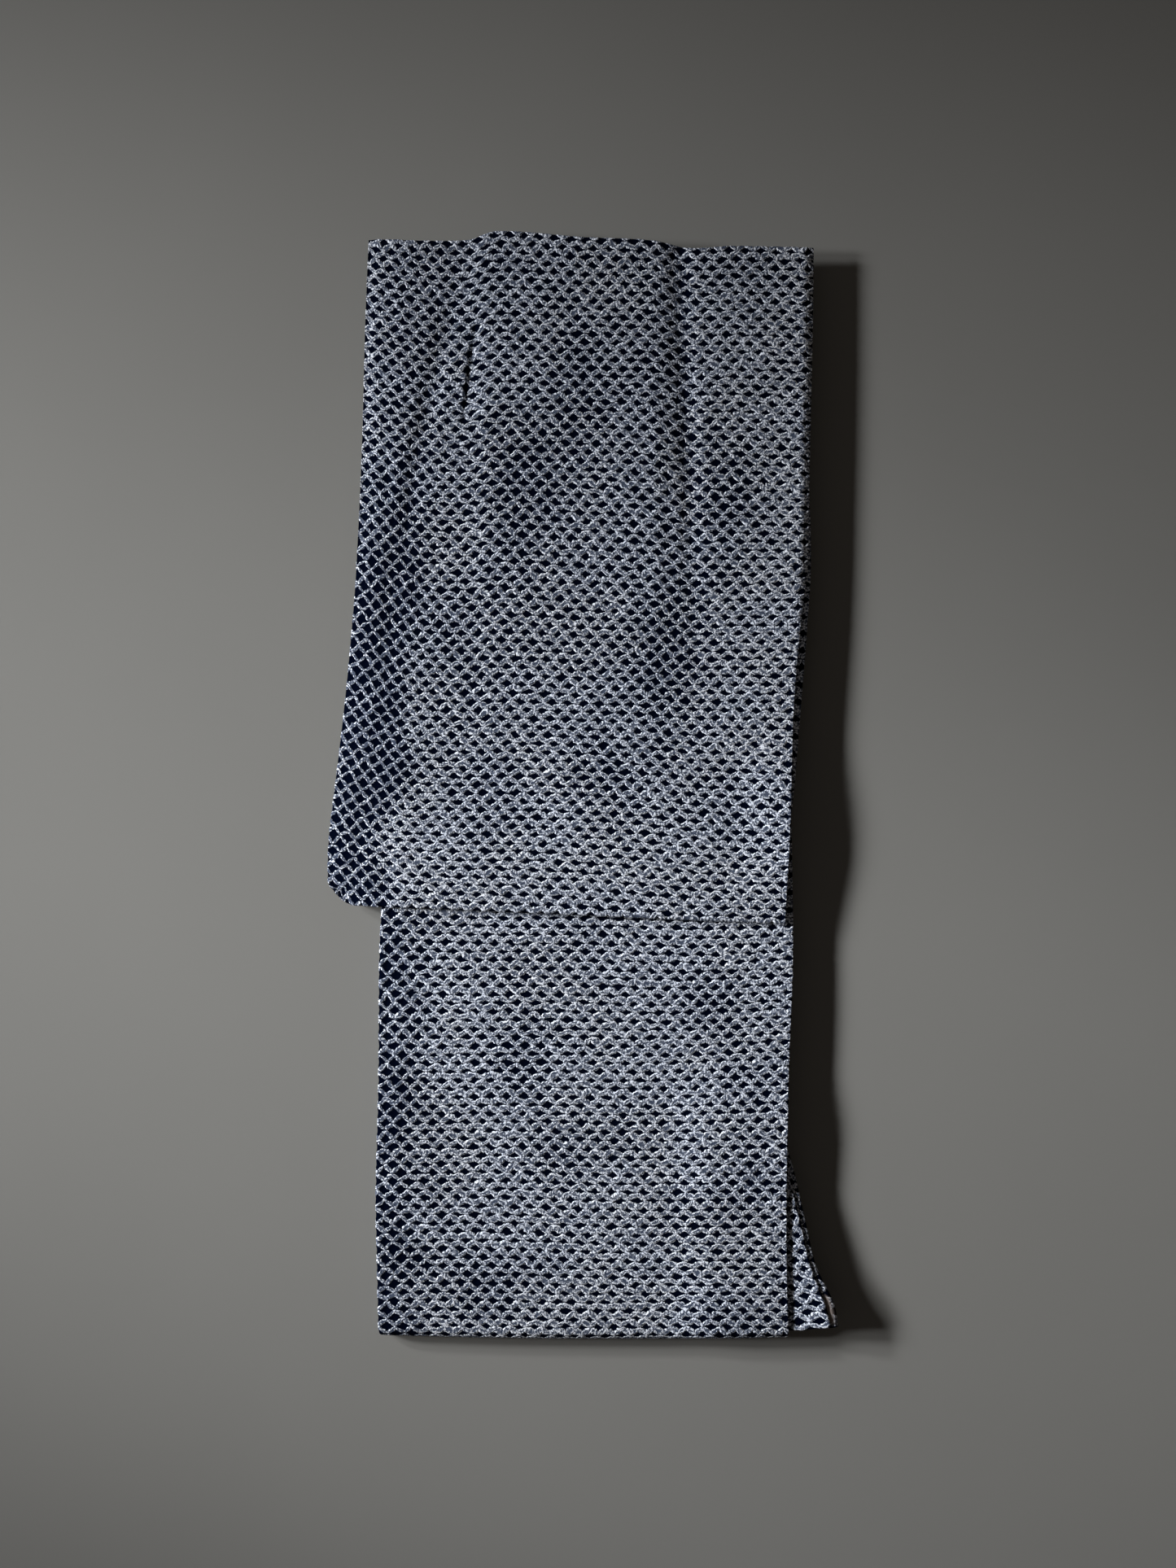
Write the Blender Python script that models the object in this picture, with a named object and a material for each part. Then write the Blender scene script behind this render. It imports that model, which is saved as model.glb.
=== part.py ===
# An unlined robe of tie-dyed cotton, folded flat for storage and lying on a table.
#
# Frame: +X to the right across the robe, +Y towards the shoulder end, +Z up.
# The origin is at the middle of the part's bounding box, on the table. Tables are in mm.
#
# body: four passes back and forth across the panel's width, doubled over at the lower edge.
# sleeve: a two-layer bag turned back over the body, its cuff side drooping towards it.
# overlap: the front overlap panel, two layers, splayed out at the lower right corner.

import math
from collections import namedtuple

import bmesh
import bpy
from mathutils import Vector

mm = 0.001

# Cloth
body_cloth = 1.25       # thickness of the puckered cotton, with its tie points
sleeve_cloth = 1.4
overlap_cloth = 1.2
layer_gap = 0.45        # air between two layers that lie on each other
clearance = 0.5         # between separate pieces
body_dye = (0.2, 0.21, 0.245)       # dark blue and white seen together from afar
sleeve_dye = (0.19, 0.2, 0.235)

# Tables are measured from the middle of the view; the part's box is centred on the origin
box_middle_x, box_middle_y = -0.65, -1.69

# Body: one row for each section across the folded stack
BodySection = namedtuple("BodySection", "y left right height")
body_sections = (
    BodySection(-400.0, -149.2, 149.8, 15.2),
    BodySection(-350.0, -150.2, 148.6, 15.3),
    BodySection(-298.0, -151.0, 148.6, 14.9),
    BodySection(-219.0, -149.2, 150.0, 15.5),
    BodySection(-130.0, -148.6, 153.3, 15.1),
    BodySection(-69.0, -146.2, 152.7, 14.9),
    BodySection(38.0, -146.0, 151.5, 14.9),
    BodySection(162.0, -146.0, 156.5, 15.0),
    BodySection(395.0, -147.0, 160.5, 14.8),
)
passes = 4                  # layers across, before the stack is doubled over
lower_edge = -403.1         # the doubled-over edge, between its two corners
lower_edge_slope = -0.004
lower_edge_bow = 2.2        # it reaches further down in the middle
shoulder_end = 385.0        # where the upper half of the stack ends, under the sleeve's fold
hem_end = 379.0             # where the lower half ends
edge_press = 1.2            # the stack is pressed down along its left folds
edge_press_width = 16.0
under_half_inset = 1.5      # the lower half lies a little inside the upper one
fold_squareness = 0.82      # 1 gives a round lower edge, less gives a squarer one
fold_reach = 0.62           # how far a side fold reaches out, in pitches
PassInset = namedtuple("PassInset", "left right")
pass_insets = (             # innermost pass first
    PassInset(2.0, 2.6),
    PassInset(2.0, 1.3),
    PassInset(0.0, 1.3),
    PassInset(0.0, 0.0),
)
wave_height = 0.35          # slow unevenness of the top, and of the folds' edges
wave_x, wave_y, wave_slant = 45.0, 56.0, 29.0   # lengths of its waves, over 2 pi
wave_share = 0.6            # of the slanting waves
wave_turn = 0.7
top_phase = 0.4
fold_phase, fold_phase_x, fold_phase_y = 1.9, 40.0, 60.0    # each fold wanders its own way

# Sleeve: one row for each section across it
SleeveSection = namedtuple("SleeveSection", "y left right under_right")
sleeve_sections = (
    SleeveSection(-101.0, -186.6, 147.2, 146.0),
    SleeveSection(-45.0, -186.2, 150.2, 149.0),
    SleeveSection(1.8, -180.8, 151.8, 154.2),
    SleeveSection(61.6, -173.6, 153.9, 159.2),
    SleeveSection(124.0, -167.6, 159.2, 164.2),
    SleeveSection(162.0, -164.8, 163.4, 166.4),
    SleeveSection(245.0, -160.8, 165.0, 164.0),
    SleeveSection(337.0, -158.2, 167.2, 166.0),
    SleeveSection(400.0, -155.6, 167.8, 166.6),
)
sleeve_corner_radius = 17.0
corner_power = 1.3          # 2 gives a round corner, 1 one that is cut off straight
corner_reach = 38.0         # the rounded corner droops from this far above the hem
sleeve_hem_left, sleeve_hem_right = -87.6, -101.2   # y of the lower seam at either side
TopPoint = namedtuple("TopPoint", "x y")
sleeve_top = (              # the shoulder fold, which bumps over the collar
    TopPoint(-156.0, 396.6),
    TopPoint(-84.0, 395.4),
    TopPoint(-62.0, 401.6),
    TopPoint(0.0, 397.4),
    TopPoint(50.0, 395.0),
    TopPoint(79.0, 389.6),
    TopPoint(110.0, 391.2),
    TopPoint(168.0, 390.6),
)
collar_lift = 1.8           # the hidden collar lifts the sleeve's shoulder part
collar_fade_from, collar_fade_to = 20.0, 240.0
collar_side_from, collar_side_to = 95.0, 150.0
panel_left, panel_right = -83.0, 66.0   # and lifts it further in a flat-topped panel
panel_height, panel_side_width = 1.2, 15.0
valley_x, valley_lean = 70.0, -0.04     # beside the panel the cloth sinks in
valley_depth, valley_width = 1.7, 13.0
cuff_end = 162.0            # the cuff is open above this y and sewn below it
cuff_fade = 12.0
droop_start = 2.0           # the overhang starts to droop this far inside the body's left edge
droop_power = 1.9
edge_rise, edge_fall = 15.0, 0.22   # the overhang's edge stays up at rise - fall x its width
TroughPoint = namedtuple("TroughPoint", "y x depth")
sleeve_trough = (           # a shallow trough runs down beside the cuff side
    TroughPoint(-88.0, -166.0, 0.0),
    TroughPoint(-57.0, -165.0, 0.9),
    TroughPoint(-4.0, -155.0, 0.9),
    TroughPoint(59.0, -145.0, 0.2),
    TroughPoint(143.0, -135.5, 0.7),
    TroughPoint(207.0, -125.0, 1.3),
    TroughPoint(312.0, -104.0, 1.3),
    TroughPoint(375.0, -86.0, 0.2),
)
trough_width = 13.0
roll_drop, roll_width = 3.0, 10.0   # the right edge rolls down where the sleeve is set in
roll_from, roll_to = 20.0, 70.0
lift_height = 4.2           # the free right edge stands up a little
lift_y, lift_half_length = -32.0, 78.0
lift_width = 46.0

# Overlap panel: one row for each section across it
OverlapSection = namedtuple("OverlapSection", "y inner under_edge upper_edge")
overlap_sections = (
    OverlapSection(-396.0, 104.0, 186.2, 180.8),
    OverlapSection(-376.5, 107.0, 182.2, 175.8),
    OverlapSection(-350.5, 111.0, 169.8, 166.0),
    OverlapSection(-319.7, 115.0, 162.6, 158.8),
    OverlapSection(-283.6, 121.0, 154.4, 149.6),
    OverlapSection(-258.0, 127.0, 147.2, 143.0),
)
overlap_fold_inner, overlap_fold_tip = -397.9, -394.3   # y of its lower fold
tip_from, tip_to = 150.0, 189.0     # x where its free corner starts, and its tip
pocket_height = 3.5         # how far the overlap lifts the body's top layer
pocket_left, pocket_side = 58.0, 40.0
pocket_top, pocket_fade = -198.0, 50.0
tip_rise = 5.8              # the panel's free corner stands up

# Steps across and along each sheet
fold_steps = 4
settle_rounds = 3           # a point's x and y depend on each other, and settle in this many
body_across = (0.0, 0.04, 0.13, 0.3, 0.5, 0.68, 0.8, 0.9, 1.0)
body_along_upper = (0.0, 0.03, 0.07, 0.12, 0.177, 0.21, 0.25, 0.32, 0.41, 0.52, 0.63, 0.74,
                    0.8, 0.86, 0.92, 1.0)
body_along_lower = (0.0, 0.07, 0.18, 0.32, 0.46, 0.6, 0.74, 0.88, 1.0)
sleeve_across = (0.0, 0.025, 0.05, 0.075, 0.1, 0.125, 0.15, 0.18, 0.22, 0.26, 0.3, 0.36,
                 0.45, 0.54, 0.62, 0.67, 0.695, 0.72, 0.76, 0.82, 0.88, 0.925, 0.955,
                 0.97, 0.985, 1.0)
sleeve_along = (0.0, 0.015, 0.035, 0.055, 0.08, 0.105, 0.14, 0.18, 0.22, 0.26, 0.3, 0.35,
                0.41, 0.47, 0.53, 0.59, 0.65, 0.71, 0.77, 0.83, 0.88, 0.93, 0.97, 1.0)
overlap_across = (0.0, 0.2, 0.4, 0.52, 0.61, 0.7, 0.82, 0.92, 1.0)
overlap_along = (0.0, 0.08, 0.2, 0.35, 0.5, 0.66, 0.82, 1.0)


# Curves

def ease(start, end, value):
    """0 before start, 1 after end, smooth between."""
    part = min(max((value - start) / (end - start), 0.0), 1.0)
    return part * part * (3.0 - 2.0 * part)


def bell(offset, half_width):
    """1 in the middle, 0 at half_width and beyond."""
    part = min(abs(offset) / half_width, 1.0)
    return 0.5 + 0.5 * math.cos(math.pi * part)


def read_table(rows, place, column):
    """A column's value at a place along the table, on a smooth curve through its rows."""
    places = [row[0] for row in rows]
    values = [getattr(row, column) for row in rows]
    place = min(max(place, places[0]), places[-1])
    last = len(rows) - 2
    index = min(sum(1 for start in places[1:-1] if start <= place), last)
    before, after = max(index - 1, 0), min(index + 2, last + 1)
    span = places[index + 1] - places[index]
    slope_in = (values[index + 1] - values[before]) / (places[index + 1] - places[before])
    slope_out = (values[after] - values[index]) / (places[after] - places[index])
    part = (place - places[index]) / span
    rest = 1.0 - part
    return (values[index] * rest * rest * (1.0 + 2.0 * part)
            + values[index + 1] * part * part * (1.0 + 2.0 * rest)
            + span * part * rest * (slope_in * rest - slope_out * part))


def signed_power(value, power):
    return math.copysign(abs(value) ** power, value)


# The stack's top surface, which the sleeve lies on

def slow_wave(x, y, phase):
    return wave_height * (math.sin(x / wave_x + phase) * math.cos(y / wave_y - phase)
                          + wave_share * math.sin((x + wave_turn * y) / wave_slant + 2.0 * phase))


def plain_height(x, y):
    """Height of the stack without its unevenness, which only the upper half has."""
    left = read_table(body_sections, y, "left")
    pressed = edge_press * (1.0 - ease(left, left + edge_press_width, x))
    return read_table(body_sections, y, "height") - pressed


def stack_height(x, y):
    left = read_table(body_sections, y, "left")
    right = read_table(body_sections, y, "right")
    x = min(max(x, left), right)
    wave = slow_wave(x, y, top_phase) * ease(left, left + edge_press_width, x)
    return plain_height(x, y) + wave


def pitches(x, y):
    """Spacing of the layers in the lower and in the upper half, and the height between them."""
    gaps = passes - 0.5
    middle = 0.5 * plain_height(x, y)
    lower = (middle - 0.5 * body_cloth) / gaps
    upper = (stack_height(x, y) - middle - 0.5 * body_cloth) / gaps
    return lower, upper, middle


def pocket_lift(x, y):
    return (pocket_height * ease(pocket_left, pocket_left + pocket_side, x)
            * (1.0 - ease(pocket_top - pocket_fade, pocket_top, y)))


# Sheets: a flat grid of cloth is made first, then each of its points is taken to its folded place

def fold_grid(stations_across, stations_along, place):
    """Grid of cloth whose point at stations i, j is taken to place(across_i, along_j)."""
    sheet = bmesh.new()
    across_steps, along_steps = len(stations_across) - 1, len(stations_along) - 1
    bmesh.ops.create_grid(sheet, x_segments=across_steps, y_segments=along_steps, size=0.5)
    for vertex in sheet.verts:
        i = round((vertex.co.x + 0.5) * across_steps)
        j = round((vertex.co.y + 0.5) * along_steps)
        x, y, z = place(stations_across[i], stations_along[j])
        vertex.co = Vector((x - box_middle_x, y - box_middle_y, z)) * mm
    return sheet


def finish_sheet(name, sheet, thickness, color):
    """Object from a sheet's middle surface, with the cloth's thickness and a cotton finish."""
    bmesh.ops.recalc_face_normals(sheet, faces=sheet.faces)
    mesh = bpy.data.meshes.new(name)
    sheet.to_mesh(mesh)
    sheet.free()
    mesh.shade_smooth()
    piece = bpy.data.objects.new(name, mesh)
    bpy.context.collection.objects.link(piece)
    solidify = piece.modifiers.new("cloth", "SOLIDIFY")
    solidify.thickness = thickness * mm
    solidify.offset = 0.0
    solidify.use_even_offset = True
    solidify.use_quality_normals = True
    cotton = bpy.data.materials.new(name + " cotton")
    cotton.use_nodes = True
    shader = cotton.node_tree.nodes["Principled BSDF"]
    shader.inputs["Base Color"].default_value = (*color, 1.0)
    shader.inputs["Roughness"].default_value = 0.9
    shader.inputs["Metallic"].default_value = 0.0
    mesh.materials.append(cotton)
    return piece


# Body

def body_profile():
    """Stations of the back-and-forth section, from the free end of the top pass inwards.

    Each is (across 0 to 1, bulge outwards from -1 to 1, pass number with folds between).
    """
    stations = []
    for number in range(passes - 1, -1, -1):
        leftwards = (passes - 1 - number) % 2 == 0
        run = body_across[::-1] if leftwards else body_across
        stations += [(across, 0.0, float(number)) for across in run]
        if number > 0:
            side, outwards = (0.0, -1.0) if leftwards else (1.0, 1.0)
            for step in range(1, fold_steps):
                angle = math.pi * step / fold_steps
                stations.append((side, outwards * math.sin(angle),
                                 number - 0.5 + 0.5 * math.cos(angle)))
    return stations


def body_path():
    """Stations along the doubled-over length: (share of the length, angle round the fold)."""
    turns = 2 * fold_steps
    upper = [(along, 0.0) for along in body_along_upper[::-1]]
    fold = [(0.0, math.pi * step / turns) for step in range(1, turns)]
    under = [(along, math.pi) for along in body_along_lower]
    return upper + fold + under


def pass_inset(level, side):
    below = min(int(level), passes - 2)
    part = level - below
    return (getattr(pass_insets[below], side) * (1.0 - part)
            + getattr(pass_insets[below + 1], side) * part)


def body_point(profile_station, path_station):
    across, bulge, level = profile_station
    along, turn = path_station
    under = turn / math.pi
    first = body_sections[0]
    flat_x = first.left + across * (first.right - first.left)
    bow = lower_edge_bow * (1.0 - (2.0 * across - 1.0) ** 2)
    fold_line = lower_edge + lower_edge_slope * flat_x - bow
    fold_start = fold_line + 0.5 * plain_height(flat_x, fold_line)
    end = shoulder_end + (hem_end - shoulder_end) * under
    y = fold_start + along * (end - fold_start)

    pressed = read_table(body_sections, y, "height") - edge_press
    side_pitch = (pressed - body_cloth) / (2 * passes - 1)
    wander = (slow_wave(fold_phase_x * level, y + fold_phase_y * under, fold_phase + level)
              * (1.0 - level / passes))
    fold_room = 0.5 * body_cloth + fold_reach * side_pitch
    left = (read_table(body_sections, y, "left") + fold_room + wander
            + pass_inset(level, "left") + under_half_inset * under)
    right = (read_table(body_sections, y, "right") + wander
             - pass_inset(level, "right") - under_half_inset * under)
    if 0.0 < level < passes - 1:
        right -= fold_room
    x = left + across * (right - left) + fold_reach * side_pitch * bulge

    lower, upper, middle_z = pitches(x, y)
    lift = pocket_lift(x, y) * ease(passes - 2.0, passes - 1.0, level)
    squareness = 1.0 - (1.0 - fold_squareness) * level / (passes - 1)
    up = signed_power(math.cos(turn), squareness)
    out = signed_power(math.sin(turn), squareness)
    rise = upper * (0.5 + level) + lift if up > 0.0 else lower * (0.5 + level)
    return x, y - lower * (0.5 + level) * out, middle_z + rise * up


def make_body():
    sheet = fold_grid(body_profile(), body_path(), body_point)
    return finish_sheet("body", sheet, body_cloth, body_dye)


# Sleeve

def round_corner(x, y, left, bottom, radius):
    """Takes a point near a square corner to its place behind a rounded one."""
    from_x, from_y = left + radius - x, bottom + radius - y
    if from_x <= 0.0 or from_y <= 0.0:
        return x, y
    distance = (from_x ** corner_power + from_y ** corner_power) ** (1.0 / corner_power)
    squeeze = max(from_x, from_y) / distance
    return left + radius - from_x * squeeze, bottom + radius - from_y * squeeze


def sleeve_plan(across, along, right_column):
    """Place on the table of a sleeve point, inside the sleeve's outline."""
    rim = 0.5 * (sleeve_cloth + layer_gap + sleeve_cloth)
    hem_from, hem_to = sleeve_sections[0].left, sleeve_sections[0].right
    x, y = 0.0, 0.0
    for _ in range(settle_rounds):
        left = read_table(sleeve_sections, y, "left")
        right = read_table(sleeve_sections, y, right_column)
        left += rim * (1.0 - ease(cuff_end - cuff_fade, cuff_end + cuff_fade, y))
        x = left + across * (right - left)
        share = (x - hem_from) / (hem_to - hem_from)
        hem = sleeve_hem_left + (sleeve_hem_right - sleeve_hem_left) * share + rim
        top = read_table(sleeve_top, x, "y") - rim
        y = hem + along * (top - hem)
    return round_corner(x, y, left, hem, sleeve_corner_radius - rim)


def collar_relief(x, y):
    """How the hidden collar lifts the sleeve, with a flat-topped panel and a valley beside it."""
    ground = collar_lift * (1.0 - ease(collar_side_from, collar_side_to, x))
    panel = panel_height * (ease(panel_left, panel_left + panel_side_width, x)
                            * (1.0 - ease(panel_right - panel_side_width, panel_right, x)))
    valley = valley_depth * bell(x - valley_x - valley_lean * (y - sleeve_top[0].y), valley_width)
    return (ground + panel - valley) * ease(collar_fade_from, collar_fade_to, y)


def droop(x, y):
    """0 on the body, 1 at the cuff side, and how high the cuff side stays."""
    left = read_table(body_sections, y, "left") + droop_start
    side = read_table(sleeve_sections, y, "left")
    below = min(max((sleeve_hem_left + corner_reach - y) / corner_reach, 0.0), 1.0)
    outline = side + sleeve_corner_radius * below * below
    part = min(max((left - x) / (left - outline), 0.0), 1.0)
    return part ** droop_power, edge_rise - edge_fall * (left - side)


def sleeve_underside(x, y):
    """Height of the sleeve's underside: on the body, down towards the table at the left."""
    right = read_table(body_sections, y, "right")
    on_body = stack_height(x, y) + clearance + collar_relief(x, y)
    dropped, edge_height = droop(x, y)
    trough = (read_table(sleeve_trough, y, "depth")
              * bell(x - read_table(sleeve_trough, y, "x"), trough_width))
    roll = roll_drop * ease(right, right + roll_width, x) * ease(roll_from, roll_to, y)
    lift = (lift_height * ease(right - lift_width, right, x)
            * bell(y - lift_y, lift_half_length))
    return on_body + (edge_height - on_body) * dropped - trough - roll + lift


def sleeve_point(across, layer_station):
    """Under layer, shoulder fold and upper layer are one strip."""
    along, bulge, layer = layer_station
    x, y = sleeve_plan(across, along, "right" if layer > 0.5 else "under_right")
    pitch = sleeve_cloth + layer_gap
    slope_x = 0.5 * (sleeve_underside(x + 1.0, y) - sleeve_underside(x - 1.0, y))
    slope_y = 0.5 * (sleeve_underside(x, y + 1.0) - sleeve_underside(x, y - 1.0))
    steepness = math.hypot(1.0, slope_x, slope_y)
    z = sleeve_underside(x, y) + (0.5 * sleeve_cloth + layer * pitch) * steepness
    return x, y + 0.5 * pitch * bulge, z


def away_from_corner(place):
    """Direction outwards, in plan, at a point of the cuff side or the hem."""
    x, y = place.x / mm + box_middle_x, place.y / mm + box_middle_y
    left = read_table(sleeve_sections, y, "left")
    aside = -max(left + sleeve_corner_radius - x, 0.0) ** (corner_power - 1.0)
    down = -max(sleeve_hem_left + sleeve_corner_radius - y, 0.0) ** (corner_power - 1.0)
    if aside == 0.0:
        return 0.0, -1.0
    length = math.hypot(aside, down)
    return aside / length, down / length


def edges_along(sheet, chain):
    return [sheet.edges.get(pair) for pair in zip(chain, chain[1:])]


def sew(sheet, under_chain, upper_chain):
    """Joins two edges that lie over each other with a strip that bulges outwards."""
    half_pitch = 0.5 * (sleeve_cloth + layer_gap) * mm
    halfway = {tuple(under.co): 0.5 * (under.co + upper.co)
               for under, upper in zip(under_chain, upper_chain)}
    strip = bmesh.ops.extrude_edge_only(sheet, edges=edges_along(sheet, under_chain))["geom"]
    for item in strip:
        if isinstance(item, bmesh.types.BMVert):
            item.co = halfway[tuple(item.co)]
            aside, down = away_from_corner(item.co)
            item.co += Vector((aside * half_pitch, down * half_pitch, 0.0))
    middle_edges = [item for item in strip if isinstance(item, bmesh.types.BMEdge)
                    and item.is_boundary and not set(item.verts) & set(under_chain)]
    bmesh.ops.bridge_loops(sheet, edges=middle_edges + edges_along(sheet, upper_chain))


def make_sleeve():
    under = [(along, 0.0, 0.0) for along in sleeve_along]
    fold = [(1.0, 1.0, 0.5)]
    upper = [(along, 0.0, 1.0) for along in sleeve_along[::-1]]
    sheet = fold_grid(sleeve_across, under + fold + upper, sleeve_point)
    sheet.verts.ensure_lookup_table()
    width, rows = len(sleeve_across), len(sleeve_along)
    grid = [sheet.verts[start:start + width] for start in range(0, len(sheet.verts), width)]

    # Sewn down the cuff side from the cuff's end, and along the hem
    sewn_rows = [j for j in range(rows - 1, -1, -1) if grid[j][0].co.y <= cuff_end * mm]
    under_chain = [grid[j][0] for j in sewn_rows] + list(grid[0][1:])
    upper_chain = [grid[-1 - j][0] for j in sewn_rows] + list(grid[-1][1:])
    sew(sheet, under_chain, upper_chain)
    return finish_sheet("sleeve", sheet, sleeve_cloth, sleeve_dye)


# Overlap panel

def overlap_point(across, layer_station):
    """Under layer and upper layer are one strip, folded at the lower edge."""
    along, bulge, layer = layer_station
    top, pitch = overlap_sections[-1].y, overlap_cloth + layer_gap
    x, y = tip_from, 0.0
    for _ in range(settle_rounds):
        reach = ease(tip_from, tip_to, x)
        fold = overlap_fold_inner + (overlap_fold_tip - overlap_fold_inner) * reach
        y = fold + 0.5 * pitch + 0.5 * overlap_cloth + along * (top - fold)
        inner = read_table(overlap_sections, y, "inner")
        under_edge = read_table(overlap_sections, y, "under_edge")
        upper_edge = read_table(overlap_sections, y, "upper_edge")
        x = inner + across * (under_edge + (upper_edge - under_edge) * layer - inner)
    _, upper, middle_z = pitches(x, y)
    bed = middle_z + (passes - 1.5) * upper + 0.5 * body_cloth
    rise = tip_rise * ease(tip_from, tip_to, x)
    z = bed + clearance + 0.5 * overlap_cloth + layer * pitch + rise
    return x, y - 0.5 * pitch * bulge, z


def make_overlap():
    under = [(along, 0.0, 0.0) for along in overlap_along[::-1]]
    fold = []
    for step in range(1, fold_steps):
        angle = math.pi * step / fold_steps
        fold.append((0.0, math.sin(angle), 0.5 - 0.5 * math.cos(angle)))
    upper = [(along, 0.0, 1.0) for along in overlap_along]
    sheet = fold_grid(overlap_across, under + fold + upper, overlap_point)
    return finish_sheet("overlap", sheet, overlap_cloth, body_dye)


def remove_all_objects():
    for item in list(bpy.data.objects):
        bpy.data.objects.remove(item, do_unlink=True)


remove_all_objects()
make_body()
make_sleeve()
make_overlap()
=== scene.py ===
# A robe of tie-dyed, puckered cotton, folded flat with one sleeve turned back on top
import math

import bmesh
import bpy
import numpy as np
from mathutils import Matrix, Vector


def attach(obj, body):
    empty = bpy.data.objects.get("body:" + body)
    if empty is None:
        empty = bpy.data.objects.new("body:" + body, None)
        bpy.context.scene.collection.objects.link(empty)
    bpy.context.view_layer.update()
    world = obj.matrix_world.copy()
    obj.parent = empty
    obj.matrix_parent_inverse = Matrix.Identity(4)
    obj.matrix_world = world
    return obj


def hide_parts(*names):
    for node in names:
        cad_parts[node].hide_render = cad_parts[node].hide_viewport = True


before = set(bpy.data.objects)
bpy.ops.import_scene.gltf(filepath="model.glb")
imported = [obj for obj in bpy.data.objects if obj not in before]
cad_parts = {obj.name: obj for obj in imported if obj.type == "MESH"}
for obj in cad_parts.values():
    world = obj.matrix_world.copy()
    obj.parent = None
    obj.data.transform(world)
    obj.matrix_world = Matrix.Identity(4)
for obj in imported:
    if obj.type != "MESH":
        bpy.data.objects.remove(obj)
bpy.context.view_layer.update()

mm = 0.001
boxMiddle = (-0.65, -1.69)      # the tables start from the middle of the view, this is the box's
tiny = 1e-6
slopeStep = 0.15                # over which the folded cloth's slope is taken
settleRounds = 3                # a point's x and y depend on each other, and settle in this many

# Tie points: the cloth is covered with them, on a nearly square lattice
ties = {
    "across": 5.95, "down": 6.25,       # spacing
    "slack": 0.25, "slackLength": 260.0,    # slow waviness of the rows, in cells
    "jitter": 0.09, "jitterLength": 15.0,   # each tie is a little out of line
    "knobHeight": 0.8, "craterDepth": 0.3, "starDepth": 0.45,
    "knobFall": 1.7, "craterFall": 14.0, "starFall": 0.8, "starFrom": 0.9,
    "knobLong": 0.70, "knobShort": 0.304,   # a knob leans away from its two star gaps
    "wide": 0.575, "narrow": 0.98,          # and is wider across the cloth than down it
    "openShort": 0.10, "openWide": 0.25,    # an opened knob is narrower, its gaps squarer
    "openHeight": 0.55,                     # and lower by this share
    "loose": 0.3, "looseLength": 110.0,     # soft patches where all are a little looser
}
waves = {"count": 8, "slowest": 0.6, "fastest": 1.5, "size": 3.0}   # that add up to unevenness
seeds = {"bodyRows": (3, 4), "sleeveRows": (5, 6), "bodyTies": 11, "sleeveTies": 13,
         "overlapTies": 15, "bodyFold": 21, "sleeveFold": 22, "bodyLoose": 31, "sleeveLoose": 33}


def ease(start, end, value):    # 0 before start, 1 after end
    part = np.clip((value - start) / (end - start), 0.0, 1.0)
    return part * part * (3.0 - 2.0 * part)


def bell(offset, halfWidth):    # 1 in the middle
    return 0.5 + 0.5 * np.cos(np.pi * np.minimum(np.abs(offset) / halfWidth, 1.0))


def readCurve(table, place, column, key="y"):   # smooth curve through a table's rows
    places, values = np.array(table[key]), np.array(table[column])
    place = np.clip(place, places[0], places[-1])
    i = np.clip(np.searchsorted(places, place, side="right") - 1, 0, len(places) - 2)
    before, after = np.maximum(i - 1, 0), np.minimum(i + 2, len(places) - 1)
    span = places[i + 1] - places[i]
    slopeIn = (values[i + 1] - values[before]) / (places[i + 1] - places[before])
    slopeOut = (values[after] - values[i]) / (places[after] - places[i])
    part = (place - places[i]) / span
    rest = 1.0 - part
    return (values[i] * rest * rest * (1.0 + 2.0 * part)
            + values[i + 1] * part * part * (1.0 + 2.0 * rest)
            + span * part * rest * (slopeIn * rest - slopeOut * part))


def wander(x, y, length, seed):     # smooth unevenness between about -1 and 1
    rng = np.random.default_rng(seed)
    total = np.zeros(np.shape(x))
    for _ in range(waves["count"]):
        angle, phase = rng.uniform(0.0, 2.0 * math.pi, 2)
        turns = 2.0 * math.pi / length * rng.uniform(waves["slowest"], waves["fastest"])
        total += np.sin(turns * (x * math.cos(angle) + y * math.sin(angle)) + phase)
    return total / waves["size"]


def signedPower(value, power):
    return np.sign(value) * np.abs(value) ** power


def tieRelief(a, b, openedAndShaded):    # height of the puckers in mm, at a place given in cells
    nodeA, nodeB = np.round(a), np.round(b)
    da, db = a - nodeA, b - nodeB
    lean = 1.0 - 2.0 * np.mod(nodeA + nodeB, 2.0)
    wide = ties["wide"] + ties["openWide"] * openedAndShaded
    along = (wide * da - lean * ties["narrow"] * db) / math.sqrt(2.0)
    aside = (wide * da + lean * ties["narrow"] * db) / math.sqrt(2.0)
    reach = np.hypot(along / ties["knobLong"],
                     aside / (ties["knobShort"] - ties["openShort"] * openedAndShaded))
    knob = ties["knobHeight"] * np.exp(-ties["knobFall"] * reach ** 2)
    crater = ties["craterDepth"] * np.exp(-ties["craterFall"] * reach ** 2)
    beyond = np.maximum(reach - ties["starFrom"], 0.0)
    star = ties["starDepth"] * (1.0 - np.exp(-ties["starFall"] * beyond ** 2))
    return (1.0 - ties["openHeight"] * openedAndShaded) * (knob - crater) - star


def tieRows(u, v, both):        # slowly wavering rows of ties, counted across and down
    return (u / ties["across"] + ties["slack"] * wander(u, v, ties["slackLength"], both[0]),
            v / ties["down"] + ties["slack"] * wander(u, v, ties["slackLength"], both[1]))


def jittered(a, b, u, v, seed):
    return (a + ties["jitter"] * wander(u, v, ties["jitterLength"], seed),
            b + ties["jitter"] * wander(u, v, ties["jitterLength"], seed + 1))


def looseness(u, v, seed):
    return ties["loose"] * np.maximum(wander(u, v, ties["looseLength"], seed), 0.0)


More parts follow.
